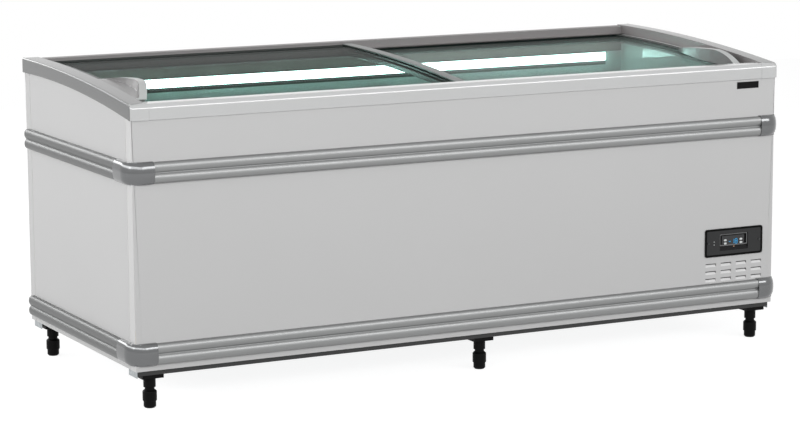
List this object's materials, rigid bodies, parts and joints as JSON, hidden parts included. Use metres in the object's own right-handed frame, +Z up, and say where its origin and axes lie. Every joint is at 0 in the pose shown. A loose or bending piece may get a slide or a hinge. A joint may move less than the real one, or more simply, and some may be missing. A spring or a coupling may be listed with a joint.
{
  "type": "island freezer",
  "caption": "Free-standing island chest freezer with an arched top, curved sliding glass lids on stepped tracks, double-ribbed bumper rails, levelling feet and a controller panel.",
  "frame": {"origin": "on the floor under the middle of the freezer's box", "axes": "+X along the freezer's length, to the right seen from the front; -Y is the front; +Z is up"},
  "size_m": [2.102, 0.856, 0.883],
  "materials": {
    "panel_paint": "powder-coated sheet, satin",
    "rail_paint": "black paint, satin",
    "galvanised_steel": "galvanised sheet",
    "leg_plastic": "moulded, matte",
    "bumper_metal": "extruded and anodised",
    "corner_plastic": "moulded, satin",
    "foam": "foamed in place",
    "liner_sheet": "pre-painted sheet",
    "tube_metal": "drawn copper tube",
    "frame_plastic": "extruded and moulded, satin",
    "back_profile_plastic": "extruded, satin",
    "lip_plastic": "moulded, glossy",
    "lid_glass": "curved tempered glass",
    "lid_bar_metal": "extruded and anodised",
    "runner_plastic": "extruded, smooth",
    "seal_rubber": "extruded, matte",
    "lamp_body": "extruded",
    "lamp_cover": "opal diffuser",
    "plate_metal": "thin plate, satin",
    "bezel_plastic": "moulded, fine texture",
    "controller_face": "polycarbonate face",
    "button_plastic": "moulded",
    "screw_steel": "zinc plated",
    "machine_paint": "black enamel",
    "fin_metal": "finned block",
    "drain_plastic": "extruded"
  },
  "bodies": {
    "cabinet": {"back_panel": "panel_paint", "back_profile": "back_profile_plastic", "base_pan": "galvanised_steel", "base_rails": "rail_paint", "bezel_screws": "screw_steel", "bumper_corners": "corner_plastic", "compressor": "machine_paint", "compressor_mounts": "seal_rubber", "condenser": "fin_metal", "controller_bezel": "bezel_plastic", "controller_unit": "controller_face", "cord_gland": "seal_rubber", "drain_tube": "drain_plastic", "end_bumper_rails": "bumper_metal", "evaporator_coil": "tube_metal", "fan_motor": "machine_paint", "fan_shroud": "bezel_plastic", "filter_dryer": "tube_metal", "foam_insulation": "foam", "front_bumper_rails": "bumper_metal", "front_panel": "panel_paint", "front_plate": "plate_metal", "front_profile": "frame_plastic", "lamp_diffuser": "lamp_cover", "lamp_housing": "lamp_body", "left_corner_lip": "lip_plastic", "left_end_cap": "frame_plastic", "left_end_panel": "panel_paint", "leg_sockets": "leg_plastic", "liner_back": "liner_sheet", "liner_floor": "liner_sheet", "liner_front": "liner_sheet", "liner_left": "liner_sheet", "liner_right": "liner_sheet", "liner_step": "liner_sheet", "rail_end_brackets": "galvanised_steel", "right_corner_lip": "lip_plastic", "right_end_cap": "frame_plastic", "right_end_panel": "panel_paint"},
    "left_lid": {"left_lid_glass": "lid_glass", "left_lid_runners": "runner_plastic", "left_lid_end_bar": "runner_plastic", "left_lid_middle_bar": "lid_bar_metal", "lid_wiper_seal": "seal_rubber"},
    "right_lid": {"right_lid_glass": "lid_glass", "right_lid_runners": "runner_plastic", "right_lid_end_bar": "runner_plastic", "right_lid_middle_bar": "lid_bar_metal"},
    "button_set": {"button_set": "button_plastic"},
    "button_defrost": {"button_defrost": "button_plastic"},
    "button_up": {"button_up": "button_plastic"},
    "button_down": {"button_down": "button_plastic"},
    "foot_front_left": {"foot_front_left": "leg_plastic"},
    "foot_front_middle": {"foot_front_middle": "leg_plastic"},
    "foot_front_right": {"foot_front_right": "leg_plastic"},
    "foot_back_left": {"foot_back_left": "leg_plastic"},
    "foot_back_middle": {"foot_back_middle": "leg_plastic"},
    "foot_back_right": {"foot_back_right": "leg_plastic"},
    "fan": {"fan": "bezel_plastic"},
    "drain_plug": {"drain_plug": "seal_rubber"}
  },
  "joints": [
    {"name": "left_lid_slide", "type": "slide", "parent": "cabinet", "child": "left_lid", "axis": [1, 0, 0], "range_m": [0, 0.9]},
    {"name": "right_lid_slide", "type": "slide", "parent": "cabinet", "child": "right_lid", "axis": [-1, 0, 0], "range_m": [0, 0.9]},
    {"name": "button_set_press", "type": "slide", "parent": "cabinet", "child": "button_set", "axis": [0, 1, 0], "range_m": [0, 0.001], "stiffness_N_per_m": 400},
    {"name": "button_defrost_press", "type": "slide", "parent": "cabinet", "child": "button_defrost", "axis": [0, 1, 0], "range_m": [0, 0.001], "stiffness_N_per_m": 400},
    {"name": "button_up_press", "type": "slide", "parent": "cabinet", "child": "button_up", "axis": [0, 1, 0], "range_m": [0, 0.001], "stiffness_N_per_m": 400},
    {"name": "button_down_press", "type": "slide", "parent": "cabinet", "child": "button_down", "axis": [0, 1, 0], "range_m": [0, 0.001], "stiffness_N_per_m": 400},
    {"name": "foot_front_left_turn", "type": "hinge", "parent": "cabinet", "child": "foot_front_left", "pos_m": [-0.978, -0.371, 0.04], "axis": [0, 0, 1], "range_deg": [-720, 720]},
    {"name": "foot_front_middle_turn", "type": "hinge", "parent": "cabinet", "child": "foot_front_middle", "pos_m": [0.043, -0.371, 0.04], "axis": [0, 0, 1], "range_deg": [-720, 720]},
    {"name": "foot_front_right_turn", "type": "hinge", "parent": "cabinet", "child": "foot_front_right", "pos_m": [0.978, -0.371, 0.04], "axis": [0, 0, 1], "range_deg": [-720, 720]},
    {"name": "foot_back_left_turn", "type": "hinge", "parent": "cabinet", "child": "foot_back_left", "pos_m": [-0.978, 0.387, 0.04], "axis": [0, 0, 1], "range_deg": [-720, 720]},
    {"name": "foot_back_middle_turn", "type": "hinge", "parent": "cabinet", "child": "foot_back_middle", "pos_m": [0.043, 0.387, 0.04], "axis": [0, 0, 1], "range_deg": [-720, 720]},
    {"name": "foot_back_right_turn", "type": "hinge", "parent": "cabinet", "child": "foot_back_right", "pos_m": [0.978, 0.387, 0.04], "axis": [0, 0, 1], "range_deg": [-720, 720]},
    {"name": "fan_spin", "type": "hinge", "parent": "cabinet", "child": "fan", "pos_m": [0.885, -0.224, 0.231], "axis": [0, 1, 0], "continuous": true},
    {"name": "drain_plug_pull", "type": "slide", "parent": "cabinet", "child": "drain_plug", "axis": [0, 0, 1], "range_m": [0, 0.06]}
  ]
}
